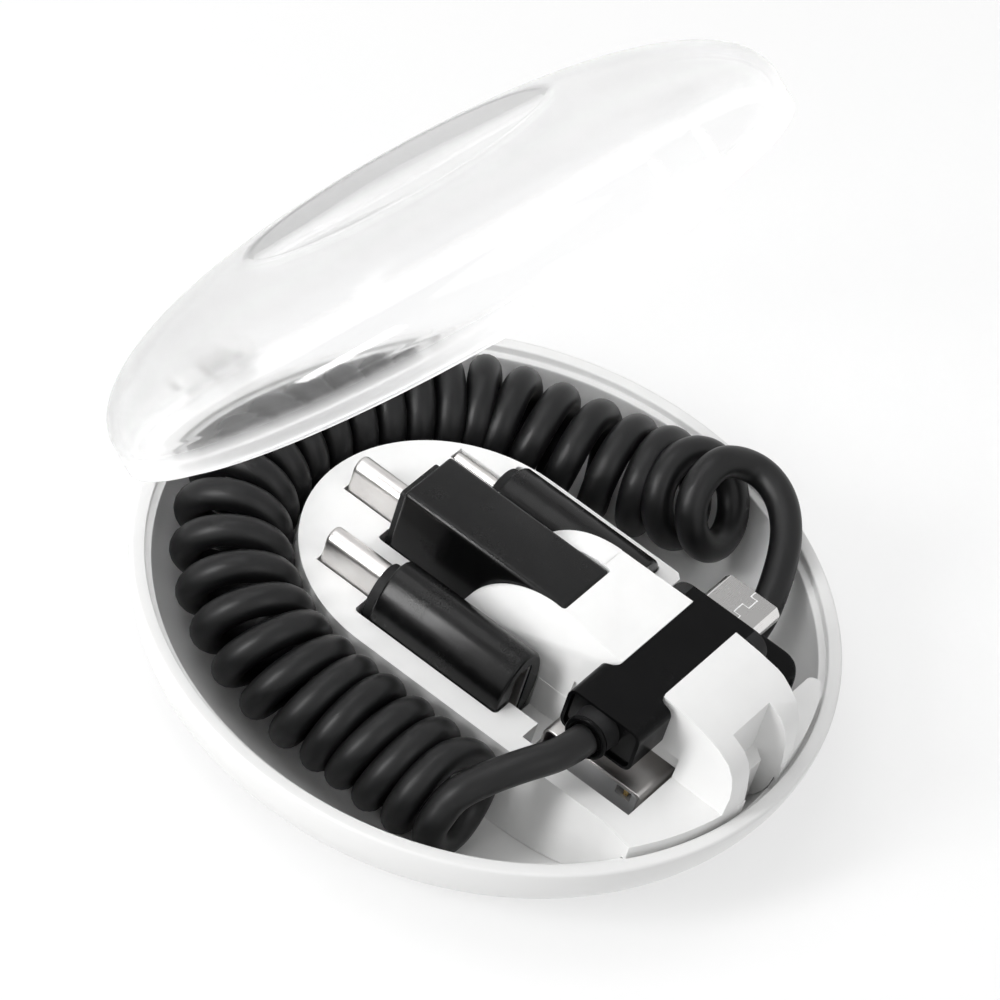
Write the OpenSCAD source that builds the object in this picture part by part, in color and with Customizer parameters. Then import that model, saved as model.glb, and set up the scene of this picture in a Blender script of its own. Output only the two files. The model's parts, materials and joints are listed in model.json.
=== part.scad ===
// Coiled charging cable with three adapters in a round flip-top case.
// Units are millimetres. The case stands on z = 0 with its centre on the origin.
// The hinge is at -X, the latch at +X and +Z is up.

/* [Case] */
// Outer radius of the case bottom
case_r = 36; // [34:0.1:40]
// Radius of the flat foot under the case
foot_r = 22.2; // [18:0.1:28]
// Height of the case rim
rim_z = 11.1; // [9:0.1:14]
// Wall at the floor
floor_t = 2; // [1:0.1:3]
// Width of the rim
rim_w = 1.5; // [1:0.1:3]
// Width of the ledge inside the rim
ledge_w = 0.8; // [0.4:0.1:2]
// Height of the lid ledge
ledge_z = 10.2; // [8:0.1:13]

/* [Lid] */
// Lid opening angle
lid_open = 53.1; // [0:0.1:110]
// How far the lid skirt stands out past the case
lid_over = 0.27; // [0:0.01:1]
// Height of the straight skirt
skirt_h = 2.8; // [1:0.1:5]
// Height of the whole lid
lid_h = 12.9; // [8:0.1:20]
// Lid wall
lid_wall = 1.2; // [0.8:0.1:2]
// Radius of the flat crown
crown_r = 16; // [8:0.5:24]

/* [Hinge] */
// Distance of the pin from the case edge
pivot_out = 3.2; // [2.5:0.1:5]
// Pin centre height
pivot_z = 14.2; // [12:0.1:18]
// Pin radius
pin_r = 0.7; // [0.4:0.05:1]
// Radius of the knuckles
knuckle_r = 1.9; // [1.4:0.1:3]
// Half width of the whole hinge
hinge_half = 5.5; // [4:0.1:9]
// Half width of the lid knuckle
knuckle_half = 2.4; // [1:0.1:4]

/* [Tray] */
// Height of the tray top
tray_z = 12.07; // [11.2:0.01:13]
// Half width of the tray
tray_half = 16.05; // [14:0.05:18]
// Centre of the round tray end
tray_end_x = -4.4; // [-8:0.1:0]
// Tray wall
tray_wall = 1.4; // [0.8:0.1:2]
// Height of the bridge
bridge_z = 19.7; // [17:0.1:21]

/* [Cord] */
// Cord diameter
cord_d = 3.3; // [2:0.1:4]
// Outer diameter of the curly part
coil_d = 12.4; // [10:0.1:15]

/* [Plugs] */
// Width of the wide plug shell
wide_w = 12; // [11.9:0.05:12.1]
// Height of the wide plug shell
wide_h = 4.5; // [4.4:0.05:4.6]
// Width of the oval plug shells
oval_w = 8.25; // [8.15:0.05:8.35]
// Thickness of the oval plug shells
oval_t = 2.4; // [2.3:0.05:2.5]
// Wall of the sheet metal shells
sheet = 0.3; // [0.2:0.05:0.4]

/* [View] */
// Piece to show

/* [Hidden] */
$fn = 64;
eps = 0.02;
seat = 0.05;
fit = 0.1;
lid_seat = rim_z + seat;
step_r = case_r - rim_w;
ledge_r = step_r - ledge_w;
lid_r = case_r + lid_over;
pivot_x = -case_r - pivot_out;
tab_x = step_r - 0.9;
tab_z = rim_z - 1.4;

// Adapter and plug positions
round_x0 = -5.6;
round_x1 = 10.4;
round_y = -9.6;
round_w = 7.2;
round_h = 11.2;
round_z = 11.8;
block_x0 = -10.3;
block_x1 = 9.7;
block_w = 7.65;
block_h = 15.8;
block_z = 11.8;
slim_x0 = -6.7;
slim_x1 = 10;
slim_y = 11.5;
slim_w = 7.2;
slim_h = 11.9;
slim_z = 8.85;
plug_x = 20.4;
wide_z = 8.65;
wide_y0 = -9.8;
wide_y1 = 2.2;
wide_y2 = 15.9;
wide_body_w = 15.6;
wide_body_h = 7.4;
groove_z = 15;
neck_w = 5.2;
head_w = 8.7;
head_h = 5.1;
head_x = 20.55;
head_z = 17.15;
head_y0 = -11.5;
head_y1 = -5;
flange_y0 = 7.1;
flange_y1 = 8.7;
relief_x = 20.2;
relief_z = 17.1;
relief_y = -13.5;

white = [0.95, 0.95, 0.94];
clear = [0.9, 0.93, 0.95, 0.35];
black = [0.08, 0.08, 0.09];
metal = [0.75, 0.76, 0.78];
gold = [0.85, 0.66, 0.3];
grey = [0.5, 0.5, 0.52];

// Plan and section helpers
module along_x(x0, x1) {
    translate([x0, 0, 0])
        rotate([90, 0, 90])
            linear_extrude(x1 - x0)
                children();
}

module along_y(y0, y1) {
    translate([0, y1, 0])
        rotate([90, 0, 0])
            linear_extrude(y1 - y0)
                children();
}

module up(z0, z1) {
    translate([0, 0, z0])
        linear_extrude(z1 - z0)
            children();
}

module block(x0, x1, y0, y1, z0, z1) {
    translate([x0, y0, z0])
        cube([x1 - x0, y1 - y0, z1 - z0]);
}

module rounded(w, h, r) {
    square([w, h - 2 * r], center = true);
    square([w - 2 * r, h], center = true);
    for (sx = [-1, 1], sy = [-1, 1])
        translate([sx * (w / 2 - r), sy * (h / 2 - r)])
            circle(r);
}

module frame_of(w, h, r, t) {
    difference() {
        rounded(w, h, r);
        rounded(w - 2 * t, h - 2 * t, max(r - t, 0.2));
    }
}

// Case bottom
function dish(s) = [foot_r + (case_r - foot_r) * sin(s), (rim_z - 0.3) * (1 - cos(s))];
function bowl(s, gap) = [foot_r + (ledge_r - gap - foot_r) * sin(s),
    ledge_z - (ledge_z - floor_t - gap) * cos(s)];

module base_profile() {
    polygon(concat(
        [for (s = [0:9:90]) dish(s)],
        [[case_r - 0.3, rim_z], [step_r, rim_z], [step_r, ledge_z]],
        [for (s = [90:-9:0]) bowl(s, 0)],
        [[0, floor_t], [0, 0]]));
}

module lug_profile() {
    translate([pivot_x, pivot_z])
        circle(knuckle_r);
    polygon([[pivot_x - knuckle_r, pivot_z], [pivot_x - knuckle_r * 0.8, pivot_z - 3.2],
        [pivot_x + 2.2, 8.2], [-case_r + 1.2, 8.2], [-case_r + 0.6, rim_z - 0.4],
        [pivot_x + knuckle_r, rim_z + 0.5], [pivot_x + knuckle_r, pivot_z]]);
}

module base_shell() {
    color(white)
        difference() {
            union() {
                rotate_extrude($fn = 128)
                    base_profile();
                for (y = [-hinge_half, knuckle_half + fit])
                    along_y(y, y + hinge_half - knuckle_half - fit)
                        lug_profile();
            }
            along_y(-hinge_half - 1, hinge_half + 1)
                translate([pivot_x, pivot_z])
                    circle(pin_r + 0.03);
            block(tab_x - 1.9, step_r - 0.16, -3.3, 3.3, tab_z - 1.3, rim_z + 1);
        }
}

module hinge_pin() {
    color(metal)
        along_y(-hinge_half, hinge_half)
            translate([pivot_x, pivot_z])
                circle(pin_r);
}

// Lid in its closed place, then turned open
function dome(s, top, r) = [5 + (r - 5) * pow(cos(s), 0.87),
    skirt_h + (top - skirt_h) * pow(sin(s), 0.87)];

module lid_profile() {
    outer = [for (s = [0:6:72]) dome(s, lid_h, lid_r)];
    inner = [for (s = [90:-7.5:0]) dome(s, lid_h - lid_wall - 0.15, lid_r - lid_wall)];
    polygon(concat(
        [[lid_r, 0]],
        outer,
        [[crown_r + 0.1, lid_h - 0.43], [crown_r, lid_h - 0.55], [0, lid_h - 0.55],
            [0, lid_h - lid_wall - 0.15]],
        inner,
        [[lid_r - lid_wall, 1.2], [step_r - 0.75, 1.2], [step_r - 0.75, -0.6],
            [step_r - 0.1, -0.6], [step_r - 0.1, 0]]));
}

module lid_knuckle() {
    translate([pivot_x, pivot_z])
        circle(knuckle_r);
    polygon([[pivot_x, pivot_z - knuckle_r], [-lid_r + 0.9, lid_seat + 0.25],
        [-lid_r + 0.9, lid_seat + 2.7], [pivot_x + 0.4, pivot_z + knuckle_r - 0.05]]);
}

module lid_closed() {
    difference() {
        union() {
            difference() {
                translate([0, 0, lid_seat])
                    rotate_extrude($fn = 128)
                        lid_profile();
                intersection() {
                    translate([0, 0, lid_seat - 1])
                        cylinder(r = lid_r - lid_wall - 0.05, h = 2.3);
                    block(lid_r - 8.07, lid_r, -19, 19, 9, 14);
                }
                intersection() {
                    translate([0, 0, lid_seat - 1])
                        cylinder(r = lid_r - lid_wall - 0.05, h = 2.3);
                    block(-4, 24, 22, 36, 9, 14);
                }
            }
            along_y(-knuckle_half, knuckle_half)
                lid_knuckle();
            block(tab_x - 1, tab_x + 0.6, -2.8, 2.8, tab_z, 14);
            block(tab_x + 0.2, lid_r - 0.67, -2.8, 2.8, lid_seat + 0.2, 14);
            along_y(-2.8, 2.8)
                polygon([[tab_x - 0.9, tab_z], [tab_x - 1.45, tab_z + 0.4], [tab_x - 0.9, tab_z + 1.1]]);
            block(lid_r - 2.17, lid_r - 0.97, -3.7, -3.1, 13.2, 17);
            block(lid_r - 2.17, lid_r - 0.97, 3.1, 3.7, 13.2, 17);
        }
        along_y(-hinge_half, hinge_half)
            translate([pivot_x, pivot_z])
                circle(pin_r + 0.06);
    }
}

module lid() {
    color(clear)
        translate([pivot_x, 0, pivot_z])
            rotate([0, -lid_open, 0])
                translate([-pivot_x, 0, -pivot_z])
                    lid_closed();
}

// Tray
module bowl_room() {
    rotate_extrude($fn = 128)
        polygon(concat(
            [[0, floor_t + seat]],
            [for (s = [0:9:90]) bowl(s, seat)],
            [[ledge_r - seat, ledge_z + seat], [step_r - 0.4, ledge_z + seat], [step_r - 0.4, 30],
                [0, 30]]));
}

module island_plan(inset) {
    translate([tray_end_x, 0])
        circle(tray_half - inset);
    polygon([[tray_end_x, inset - tray_half], [26 + inset * 0.1, inset - tray_half],
        [29.7, inset - 16.8], [step_r - 0.3 - inset, inset - 16.8], [step_r - 0.3 - inset, 7.2],
        [12.3 - inset, 7.2], [12.3 - inset, tray_half - inset - 0.6],
        [11.7 - inset, tray_half - inset], [tray_end_x, tray_half - inset]]);
}

module leaf_plan() {
    translate([29.7, 14.6])
        circle(0.8);
    polygon([[28.9, 4], [34.2, 4], [34.2, 12], [30.5, 14.6], [28.9, 14.6]]);
}

module bridge_elevation() {
    intersection() {
        translate([8.9, 10.1])
            circle(9.65);
        translate([-1.5, 8])
            square([10.4, 13]);
    }
    polygon([[0.5, 8], [8.8, 8], [33.9, 8], [33.9, 11], [33.7, 13.4], [33.3, 15.5], [32.9, 16.6],
        [32, 17.7], [30.5, 18.5], [28.5, 19.15], [26, 19.5], [22.9, bridge_z], [8.8, bridge_z], [5, 12]]);
}

module bridge_front() {
    polyhedron(
        points = [[-2, -6, 8], [34.5, -6.6, 8], [34.5, -6.5, 12], [-2, -5.9, 12],
            [-2, -3.6, 21], [9.7, -3.6, 21], [22.9, -5.1, 21], [34.5, -5.5, 21],
            [-2, -12, 8], [34.5, -12, 8], [34.5, -12, 21], [-2, -12, 21]],
        faces = [[8, 9, 1, 0], [0, 1, 2, 3], [3, 2, 7], [3, 7, 6], [3, 6, 5], [3, 5, 4],
            [4, 5, 6, 7, 10, 11], [8, 11, 10, 9], [8, 0, 3, 4, 11], [9, 10, 7, 2, 1]]);
}

module bridge() {
    difference() {
        intersection() {
            along_y(-7, 7)
                bridge_elevation();
            up(8, 21)
                polygon([[-2, -7], [34.5, -7], [34.5, 4.2], [33, 5.4], [31.7, 6.1], [29.3, 6.8],
                    [23, 7], [-2, 6.8]]);
        }
        bridge_front();
    }
}

module pocket_liners() {
    block(-9.6, 12.3, -14.3, -4.7, 2, tray_z - 0.1);
    block(-12.6, 12.3, -5, 5, 2, tray_z - 0.1);
    block(-9.2, 11.6, 6.6, 16.5, 2, tray_z - 0.1);
    block(-15.2, -9, -11.9, -7.6, 5.8, tray_z - 0.1);
    block(-19.2, -12, -2.1, 2.1, 5.8, tray_z - 0.1);
    block(-14.6, -9, 9.9, 13.1, 4, tray_z - 0.1);
    block(10.8, 33.6, -16.5, 8.2, 2, tray_z - 0.1);
}

module adapter_pockets() {
    up(round_z - round_h / 2 - eps, 30)
        translate([(round_x0 + round_x1) / 2 - 0.75, round_y])
            rounded(round_x1 - round_x0 + 1.8, round_w + 2 * fit, 0.5);
    block(-13.9, round_x0 - 0.9, -10.95, -8.25, 7.6, 30);
    block(10.5, 14.2, -11, -6.2, 8.2, 30);
    up(block_z - block_h / 2 - eps, 30)
        translate([(block_x0 + block_x1) / 2 - 0.6, 0])
            rounded(block_x1 - block_x0 + 1.4, block_w + 2 * fit, 0.4);
    block(-18, -11, -1.35, 1.35, 7.6, 30);
    up(slim_z - slim_h / 2 - eps, 30)
        translate([(slim_x0 + slim_x1) / 2 - 0.65, slim_y])
            rounded(slim_x1 - slim_x0 + 1.5, slim_w + 2 * fit, 0.5);
    block(-13.5, -7, slim_y - 0.9, slim_y + 0.9, 5.4, 30);
}

module plug_pockets() {
    block(plug_x - 6.3, plug_x + 6.8, -13.55, wide_y1, 6.3, 12.6);
    block(plug_x - 6.3, plug_x + 6.8, -13.55, -5.6, 6.3, 14.4);
    block(plug_x - 8, plug_x + 8, wide_y1 - 0.6, 30, 4.8, 12.6);
    block(plug_x - 2.65, plug_x + 2.65, -9, 9, groove_z, 30);
    block(head_x - 4.5, head_x + 4.5, -9, head_y1 - 1.1, 14.5, 30);
    up(14.5, 30)
        flare_plan(fit);
    block(30.3, 40, -3.1, 3.1, tray_z + 0.13, 30);
    up(0, 30)
        polygon([[30.9, 3.1], [32, 2.2], [32, -2.2], [30.9, -3.1], [40, -3.1], [40, 3.1]]);
}

module tray_insert() {
    color(white)
        difference() {
            intersection() {
                union() {
                    difference() {
                        union() {
                            up(0, tray_z)
                                island_plan(0);
                            up(ledge_z, tray_z)
                                leaf_plan();
                        }
                        up(-1, tray_z - tray_wall)
                            island_plan(tray_wall);
                    }
                    intersection() {
                        pocket_liners();
                        up(0, tray_z)
                            island_plan(0);
                    }
                    bridge();
                }
                bowl_room();
            }
            adapter_pockets();
            plug_pockets();
        }
}

// Cord
function spline(p, i, u) =
    let (a = p[max(i - 1, 0)], b = p[i], c = p[i + 1], d = p[min(i + 2, len(p) - 1)])
        0.5 * (2 * b + (c - a) * u + (2 * a - 5 * b + 4 * c - d) * u * u
            + (3 * b - a - 3 * c + d) * u * u * u);
function route(p, k) = concat([for (i = [0:len(p) - 2]) for (j = [0:k - 1]) spline(p, i, j / k)],
    [p[len(p) - 1]]);
function unit(v) = v / norm(v);
function heading(q, i, t0, t1) = i == 0 ? t0 : i == len(q) - 1 ? t1 : unit(q[i + 1] - q[i - 1]);
function ring(p, t, r, n) =
    let (a = unit(cross([0, 0, 1], t)), b = cross(t, a))
        [for (i = [0:n - 1]) p + r * (cos(360 * i / n) * a + sin(360 * i / n) * b)];

module tube(q, r, n, t0, t1) {
    m = len(q);
    polyhedron(
        points = [for (i = [0:m - 1]) each ring(q[i], heading(q, i, t0, t1), r, n)],
        faces = concat(
            [[for (i = [0:n - 1]) i]],
            [[for (i = [n - 1:-1:0]) (m - 1) * n + i]],
            [for (k = [0:m - 2]) for (i = [0:n - 1]) [k * n + i, (k + 1) * n + i, (k + 1) * n + (i + 1) % n]],
            [for (k = [0:m - 2]) for (i = [0:n - 1]) [k * n + i, (k + 1) * n + (i + 1) % n, k * n + (i + 1) % n]]));
}

coil_start = [13.3, -22.3, 8.8];
coil_end = [7, 26.7, 11.6];
coil_route = [coil_start, [8, -22.3, 8.6], [2, -22.3, 8.9], [-4.4, -22.4, 9], [-12, -21.1, 9.6],
    [-18.8, -17, 9.8], [-23.7, -11.2, 9.9], [-26.4, -3.9, 9.9], [-26.4, 3.9, 9.8], [-23.8, 11.2, 9.6],
    [-18.5, 18.6, 9.3], [-14.9, 21.3, 9.1], [-11, 22.9, 8.9], [-6.8, 24.4, 8.8], [-2.8, 25.5, 9],
    [0.2, 26.3, 9.3], [3.4, 26.9, 10], coil_end];

small_lead_route = [[coil_start[0] + seat, -22, coil_start[2] + 4.6], [15.6, -22, 13.6], [17.6, -20.4, 15],
    [19.4, -17.3, 16.7], [relief_x, relief_y - eps, relief_z]];
wide_lead_route = [[coil_end[0] + seat, coil_end[1] + 2.6, coil_end[2] + 3.8], [10.5, 30.6, 15.3],
    [13.5, 30, 14.9], [16, 28.2, 13.9], [17.9, 25.6, 12.4], [19.3, 22.6, 10.6], [20.2, 19.2, 9.1],
    [plug_x, wide_y2 + eps, wide_z]];

module coil_cord() {
    color(black)
        tube(route(coil_route, 3), coil_d / 2, 16, [-1, 0, 0], [1, 0, 0]);
}

module small_lead() {
    color(black)
        tube(route(small_lead_route, 3), cord_d / 2, 8, [1, 0, 0], [0, 1, 0]);
}

module wide_lead() {
    color(black)
        tube(route(wide_lead_route, 3), cord_d / 2, 8, [1, 0, 0], [0, -1, 0]);
}

// Small plug across the bridge
module flare_plan(gap) {
    difference() {
        translate([plug_x - neck_w / 2 - 1.2, head_y1 - 2])
            square([neck_w + 2.4, 2]);
        for (s = [-1, 1])
            translate([plug_x + s * (neck_w / 2 + 1.2), head_y1])
                circle(1.2 - gap);
    }
}

module head_plan() {
    translate([head_x - head_w / 2, head_y0])
        square([head_w, head_y1 - head_y0 - 1.2]);
    translate([plug_x - neck_w / 2, head_y1 - 1])
        square([neck_w, flange_y0 - head_y1 + 1.1]);
    flare_plan(0);
}

module small_housing() {
    color(black)
        difference() {
            union() {
                intersection() {
                    up(14, bridge_z + 0.1)
                        head_plan();
                    along_y(head_y0 - 1, flange_y1)
                        translate([head_x, head_z])
                            rounded(head_w, head_h, 1);
                }
                along_y(flange_y0, flange_y1)
                    translate([plug_x, 16.9])
                        rounded(11.6, 5.6, 2);
            }
            block(plug_x - 4, plug_x + 4, head_y1, flange_y0 - eps, 14, groove_z + eps);
            along_y(head_y0 - 1, head_y0 + 1.2)
                translate([head_x, head_z])
                    rounded(head_w - 0.8, head_h - 0.6, 0.7);
            along_y(flange_y1 - 0.8, flange_y1 + 1)
                translate([plug_x, 16.9])
                    square([6.4, 1.36], center = true);
        }
}

module small_front_panel() {
    color(black)
        along_y(head_y0 + 0.4, head_y0 + 1.2 - eps)
            translate([head_x, head_z])
                rounded(head_w - 0.8 - 2 * eps, head_h - 0.6 - 2 * eps, 0.7);
}

module small_relief() {
    color(black)
        translate([relief_x, 0, relief_z])
            rotate([90, 0, 0]) {
                translate([0, 0, -head_y0 - 0.4 + eps])
                    cylinder(d = 4.36, h = 1.7);
                translate([0, 0, -relief_y - 0.7])
                    cylinder(d = 4.8, h = 0.7);
            }
}

module micro_section(t) {
    w = 3.425 - t;
    polygon([[-w, 16 + t], [w, 16 + t], [w, 17.1], [2.9 - t * 0.7, 17.8 - t], [t * 0.7 - 2.9, 17.8 - t],
        [-w, 17.1]]);
}

module small_shell() {
    color(metal)
        translate([plug_x, 0, 0])
            difference() {
                along_y(flange_y1 + eps, 14.7)
                    micro_section(0);
                along_y(flange_y1 - 1, 15)
                    micro_section(0.25);
            }
}

module small_insulator() {
    color(black)
        translate([plug_x, 0, 0])
            difference() {
                along_y(flange_y1 - 0.75, 14.2)
                    micro_section(0.27);
                along_y(10.5, 15)
                    translate([0, 16.75])
                        square([5, 0.7], center = true);
            }
}

// Wide plug under the bridge
module wide_housing() {
    color(black)
        difference() {
            intersection() {
                along_y(wide_y1, wide_y2)
                    translate([plug_x, wide_z])
                        rounded(wide_body_w, wide_body_h, 1.6);
                up(4, 13)
                    translate([plug_x, wide_y2 - 10])
                        rounded(wide_body_w, 20, 3);
            }
            along_y(wide_y1 - 1, wide_y1 + 3)
                translate([plug_x, wide_z])
                    rounded(wide_w + 2 * eps, wide_h + 2 * eps, 0.6);
        }
}

module wide_shell() {
    color(metal)
        along_y(wide_y0, wide_y1 + 3 - eps)
            translate([plug_x, wide_z])
                frame_of(wide_w, wide_h, 0.6, sheet);
}

module wide_tongue() {
    color(grey)
        along_y(wide_y0 + 0.15, wide_y1 + 2.9)
            translate([plug_x, wide_z + wide_h / 2 - sheet - 0.95 - eps])
                square([wide_w - 2 * sheet - 0.7, 1.9], center = true);
}

module wide_contacts() {
    color(gold)
        for (x = [-3.5, -1.25, 1.25, 3.5])
            translate([plug_x + x - 0.5, wide_y0 + 1, wide_z + wide_h / 2 - sheet - 2.1 - eps])
                cube([1, 7.5, 0.18]);
}

// Round adapter standing on edge
module stadium(w, h) {
    r = w / 2;
    square([w, h - w], center = true);
    for (s = [-1, 1])
        translate([0, s * (h - w) / 2])
            circle(r);
}

module oval(w, h) {
    scale([1, h / w])
        circle(d = w);
}

module body_ends(x0, x1, y, z) {
    along_x(x0 + 0.3, x1 - 0.3)
        translate([y, z])
            children(0);
    along_x(x0, x1)
        translate([y, z])
            children(1);
}

module round_body() {
    color(black)
        difference() {
            body_ends(round_x0, round_x1, round_y, round_z) {
                oval(round_w, round_h);
                oval(round_w - 0.5, round_h - 0.5);
            }
            along_x(round_x1 - 5.5, round_x1 + 1)
                translate([round_y, round_z])
                    rounded(2.7, 7.6, 0.5);
        }
}

module round_collar() {
    color(black)
        along_x(round_x0 - 1.2, round_x0 - eps)
            translate([round_y, round_z])
                oval(round_w - 1.4, round_h - 2.8);
}

module oval_shell(x0, x1, y, z) {
    color(metal)
        along_x(x0, x1)
            translate([y, z])
                difference() {
                    stadium(oval_t, oval_w);
                    stadium(oval_t - 2 * sheet, oval_w - 2 * sheet);
                }
}

module oval_core(x0, x1, y, z) {
    color(black)
        difference() {
            along_x(x0 + 0.4, x1)
                translate([y, z])
                    stadium(oval_t - 2 * sheet - eps, oval_w - 2 * sheet - eps);
            along_x(x0 - 1, x1 - 0.8)
                translate([y, z])
                    square([0.8, 6.7], center = true);
        }
}

module round_plug_shell() {
    oval_shell(-13.7, round_x0 - 1.2 - eps, round_y, round_z);
}

module round_plug_core() {
    oval_core(-13.7, round_x0 - 1.2 - eps, round_y, round_z);
}

module socket_shell(x1, y, z, w, h, deep) {
    color(metal)
        difference() {
            along_x(x1 - deep, x1 - 0.15)
                translate([y, z])
                    rounded(w, h, 0.5);
            along_x(x1 - deep + 0.3, x1)
                translate([y, z])
                    rounded(w - 2 * sheet, h - 2 * sheet, 0.3);
        }
}

module round_socket_shell() {
    socket_shell(round_x1, round_y, round_z, 2.7 - eps, 7.6 - eps, 5.5 - eps);
}

module round_socket_tongue() {
    color(black)
        along_x(round_x1 - 5.2 + eps, round_x1 - 1)
            translate([round_y - 0.45, round_z])
                square([0.6, 5], center = true);
}

// Block adapter through the bridge
module block_body() {
    color(black)
        difference() {
            body_ends(block_x0, block_x1, 0, block_z) {
                rounded(block_w, block_h, 0.5);
                rounded(block_w - 0.5, block_h - 0.5, 0.4);
            }
            along_x(block_x1 - 10, block_x1 + 1)
                translate([0, block_z])
                    rounded(5.6, 13.2, 0.5);
        }
}

module block_collar() {
    color(black)
        along_x(block_x0 - 0.9, block_x0 - eps)
            translate([0, block_z])
                rounded(block_w - 1.6, block_h - 2.4, 0.5);
}

module block_plug_shell() {
    oval_shell(-17.8, block_x0 - 0.9 - eps, 0, block_z);
}

module block_plug_core() {
    oval_core(-17.8, block_x0 - 0.9 - eps, 0, block_z);
}

module block_socket_shell() {
    socket_shell(block_x1, 0, block_z, 5.6 - eps, 13.2 - eps, 10 - eps);
}

module block_socket_tongue() {
    color(grey)
        along_x(block_x1 - 9.7 + eps, block_x1 - 1)
            translate([-1, block_z])
                square([1.8, 11], center = true);
}

// Slim adapter behind the bridge
module slim_body() {
    color(black)
        difference() {
            body_ends(slim_x0, slim_x1, slim_y, slim_z) {
                stadium(slim_w, slim_h);
                stadium(slim_w - 0.5, slim_h - 0.5);
            }
            along_x(slim_x1 - 5.5, slim_x1 + 1)
                translate([slim_y, slim_z])
                    rounded(2.7, 7.6, 0.5);
        }
}

module slim_collar() {
    color(black)
        along_x(slim_x0 - 1, slim_x0 - eps)
            translate([slim_y, slim_z])
                stadium(slim_w - 1.6, slim_h - 1.6);
}

module slim_blade() {
    color(metal)
        along_x(-13.3, slim_x0 - 1 - eps)
            translate([slim_y, slim_z])
                stadium(1.5, 6.7);
}

module slim_contacts() {
    color(gold)
        for (s = [-1, 1])
            for (i = [-3.5:1:3.5])
                along_x(-12.8, -9.8)
                    translate([slim_y + s * (0.75 + 0.06 + eps), slim_z + i * 0.66])
                        square([0.12, 0.36], center = true);
}

module slim_socket_shell() {
    socket_shell(slim_x1, slim_y, slim_z, 2.7 - eps, 7.6 - eps, 5.5 - eps);
}

module slim_socket_tongue() {
    color(black)
        along_x(slim_x1 - 5.2 + eps, slim_x1 - 1)
            translate([slim_y - 0.45, slim_z])
                square([0.6, 5], center = true);
}

base_shell();
tray_insert();
hinge_pin();
lid();
coil_cord();
small_lead();
wide_lead();
small_housing();
small_front_panel();
small_relief();
small_shell();
small_insulator();
wide_housing();
wide_shell();
wide_tongue();
wide_contacts();
round_body();
round_collar();
round_plug_shell();
round_plug_core();
round_socket_shell();
round_socket_tongue();
block_body();
block_collar();
block_plug_shell();
block_plug_core();
block_socket_shell();
block_socket_tongue();
slim_body();
slim_collar();
slim_blade();
slim_contacts();
slim_socket_shell();
slim_socket_tongue();
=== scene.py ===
# Coiled charging cable with three adapters in a round flip-top case.
# Lengths in the settings are millimetres; unit turns them into the frame's metres.
import json
import math
import bpy
import bmesh
import numpy as np
from mathutils import Matrix, Vector

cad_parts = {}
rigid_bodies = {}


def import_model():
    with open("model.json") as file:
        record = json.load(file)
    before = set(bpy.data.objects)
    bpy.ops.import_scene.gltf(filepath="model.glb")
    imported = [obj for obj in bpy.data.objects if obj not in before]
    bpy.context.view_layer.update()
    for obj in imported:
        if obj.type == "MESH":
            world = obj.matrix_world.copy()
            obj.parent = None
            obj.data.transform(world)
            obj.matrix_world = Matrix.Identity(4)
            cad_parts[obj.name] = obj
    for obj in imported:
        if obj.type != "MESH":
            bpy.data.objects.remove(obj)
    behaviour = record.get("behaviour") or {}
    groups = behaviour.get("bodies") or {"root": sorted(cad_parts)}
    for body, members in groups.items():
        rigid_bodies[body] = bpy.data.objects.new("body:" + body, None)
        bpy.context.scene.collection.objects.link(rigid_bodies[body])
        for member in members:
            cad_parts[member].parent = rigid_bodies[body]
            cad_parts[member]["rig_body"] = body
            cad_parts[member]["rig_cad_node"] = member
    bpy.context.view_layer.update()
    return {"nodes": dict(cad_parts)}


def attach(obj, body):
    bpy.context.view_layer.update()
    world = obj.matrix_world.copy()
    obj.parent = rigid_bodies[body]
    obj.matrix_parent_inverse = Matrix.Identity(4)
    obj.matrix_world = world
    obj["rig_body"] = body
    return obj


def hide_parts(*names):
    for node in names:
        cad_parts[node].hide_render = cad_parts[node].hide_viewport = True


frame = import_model()
nodes = frame["nodes"]
unit = 0.001


# Camera: it stands at the given place and looks against the direction (sin az cos el,
# -cos az cos el, sin el); its right and up axes are turned about that direction by the roll.
view = dict(azimuth=23.97, elevation=44.74, roll=18.66, place=(172.122, -391.944, 447.750), lens=223.5,
            sensor=36, near=0.01)


def makeCamera(c):
    az, el, roll = (math.radians(c[k]) for k in ("azimuth", "elevation", "roll"))
    back = np.array([math.sin(az) * math.cos(el), -math.cos(az) * math.cos(el), math.sin(el)])
    right = np.cross(-back, [0, 0, 1])
    right /= np.linalg.norm(right)
    up = np.cross(right, -back)
    turnedRight = math.cos(roll) * right + math.sin(roll) * up
    turnedUp = math.cos(roll) * up - math.sin(roll) * right
    data = bpy.data.cameras.new("camera")
    data.lens = c["lens"]
    data.sensor_width = c["sensor"]
    data.clip_start = c["near"]
    camera = bpy.data.objects.new("camera", data)
    bpy.context.scene.collection.objects.link(camera)
    place = Matrix.Identity(4)
    for i in range(3):
        place[i][0], place[i][1], place[i][2] = turnedRight[i], turnedUp[i], back[i]
        place[i][3] = c["place"][i] * unit
    camera.matrix_world = place
    bpy.context.scene.camera = camera


makeCamera(view)


# Sockets with plain formulas: a Value is one output, and a Finish is one material.
class Value:
    def __init__(self, finish, socket):
        self.finish = finish
        self.socket = socket

    def join(self, operation, first, second):
        return self.finish.add("ShaderNodeMath", {"operation": operation}, {0: first, 1: second})

    def __add__(self, other):
        return self.join("ADD", self, other)

    def __radd__(self, other):
        return self.join("ADD", other, self)

    def __sub__(self, other):
        return self.join("SUBTRACT", self, other)

    def __rsub__(self, other):
        return self.join("SUBTRACT", other, self)

    def __mul__(self, other):
        return self.join("MULTIPLY", self, other)

    def __rmul__(self, other):
        return self.join("MULTIPLY", other, self)

    def most(self, other):
        return self.join("MAXIMUM", self, other)


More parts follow.
